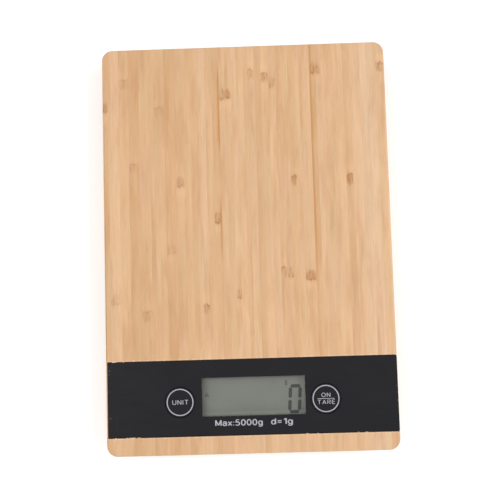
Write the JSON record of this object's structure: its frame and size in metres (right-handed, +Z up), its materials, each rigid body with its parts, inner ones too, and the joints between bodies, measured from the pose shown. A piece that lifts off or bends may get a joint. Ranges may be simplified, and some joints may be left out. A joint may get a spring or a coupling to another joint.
{
  "type": "kitchen scale",
  "caption": "Slim electronic kitchen scale: a bamboo weighing board on load-cell feet, with a black display panel and two round keys.",
  "frame": {"origin": "on the table, below the middle of the board", "axes": "+Z up, +Y along the board away from the display, +X to the right seen from the display end"},
  "size_m": [0.162, 0.23, 0.018],
  "materials": {
    "bamboo": "laminated strips, satin oil",
    "black_plastic": "semi-gloss",
    "housing_plastic": "fine matt texture",
    "clear_plastic": "clear",
    "display_glass": "polarised",
    "reflector": "satin grey-green film",
    "elastomer": "matt",
    "solder_mask": "green solder mask",
    "epoxy": "black resin",
    "capacitor_sleeve": "shrink sleeve",
    "switch_plastic": "moulded",
    "steel": "satin",
    "nickel_strip": "nickel plated",
    "rubber": "matt",
    "grey_insulation": "PVC",
    "red_insulation": "PVC",
    "black_insulation": "PVC"
  },
  "bodies": {
    "platform": {"bamboo_board": "bamboo", "display_panel": "black_plastic", "display_window": "clear_plastic", "lcd_frame": "housing_plastic", "lcd_front_glass": "display_glass", "lcd_rear_glass": "display_glass", "lcd_reflector": "reflector", "zebra_strip": "elastomer", "circuit_board": "solder_mask", "circuit_board_screw_1": "steel", "circuit_board_screw_2": "steel", "circuit_board_screw_3": "steel", "circuit_board_screw_4": "steel", "controller_blob": "epoxy", "memory_chip": "epoxy", "smoothing_capacitor": "capacitor_sleeve", "unit_switch_body": "switch_plastic", "tare_switch_body": "switch_plastic", "base_cover": "housing_plastic", "base_screw_1": "steel", "base_screw_2": "steel", "base_screw_3": "steel", "base_screw_4": "steel", "base_screw_5": "steel", "base_screw_6": "steel", "base_screw_7": "steel", "base_screw_8": "steel", "battery_positive_contact": "nickel_strip", "battery_negative_contact": "nickel_strip", "coin_cell": "steel", "cell_bracket_front_left": "housing_plastic", "cell_bracket_front_right": "housing_plastic", "cell_bracket_rear_left": "housing_plastic", "cell_bracket_rear_right": "housing_plastic", "cell_lead_front_left": "grey_insulation", "cell_lead_front_right": "grey_insulation", "cell_lead_rear_left": "grey_insulation", "cell_lead_rear_right": "grey_insulation", "battery_lead_positive": "red_insulation", "battery_lead_negative": "black_insulation"},
    "unit_key": {"unit_key": "black_plastic", "unit_switch_plunger": "housing_plastic"},
    "tare_key": {"tare_key": "black_plastic", "tare_switch_plunger": "housing_plastic"},
    "foot_front_left": {"foot_pad_front_left": "rubber", "foot_cup_front_left": "housing_plastic", "load_cell_front_left": "steel"},
    "foot_front_right": {"foot_pad_front_right": "rubber", "foot_cup_front_right": "housing_plastic", "load_cell_front_right": "steel"},
    "foot_rear_left": {"foot_pad_rear_left": "rubber", "foot_cup_rear_left": "housing_plastic", "load_cell_rear_left": "steel"},
    "foot_rear_right": {"foot_pad_rear_right": "rubber", "foot_cup_rear_right": "housing_plastic", "load_cell_rear_right": "steel"},
    "battery_door": {"battery_door": "housing_plastic"}
  },
  "joints": [
    {"name": "unit_key_press", "type": "slide", "parent": "platform", "child": "unit_key", "axis": [0, 0, -1], "range_m": [0, 0.0004], "stiffness_N_per_m": 3000, "springref_m": -0.00015},
    {"name": "tare_key_press", "type": "slide", "parent": "platform", "child": "tare_key", "axis": [0, 0, -1], "range_m": [0, 0.0004], "stiffness_N_per_m": 3000, "springref_m": -0.00015},
    {"name": "foot_front_left_press", "type": "slide", "parent": "platform", "child": "foot_front_left", "axis": [0, 0, 1], "range_m": [0, 0.0003], "stiffness_N_per_m": 20000, "springref_m": -0.00007},
    {"name": "foot_front_right_press", "type": "slide", "parent": "platform", "child": "foot_front_right", "axis": [0, 0, 1], "range_m": [0, 0.0003], "stiffness_N_per_m": 20000, "springref_m": -0.00007},
    {"name": "foot_rear_left_press", "type": "slide", "parent": "platform", "child": "foot_rear_left", "axis": [0, 0, 1], "range_m": [0, 0.0003], "stiffness_N_per_m": 20000, "springref_m": -0.00007},
    {"name": "foot_rear_right_press", "type": "slide", "parent": "platform", "child": "foot_rear_right", "axis": [0, 0, 1], "range_m": [0, 0.0003], "stiffness_N_per_m": 20000, "springref_m": -0.00007},
    {"name": "battery_door_tilt", "type": "hinge", "parent": "platform", "child": "battery_door", "pos_m": [0, -0.0088, 0.003], "axis": [1, 0, 0], "range_deg": [0, 75]}
  ]
}
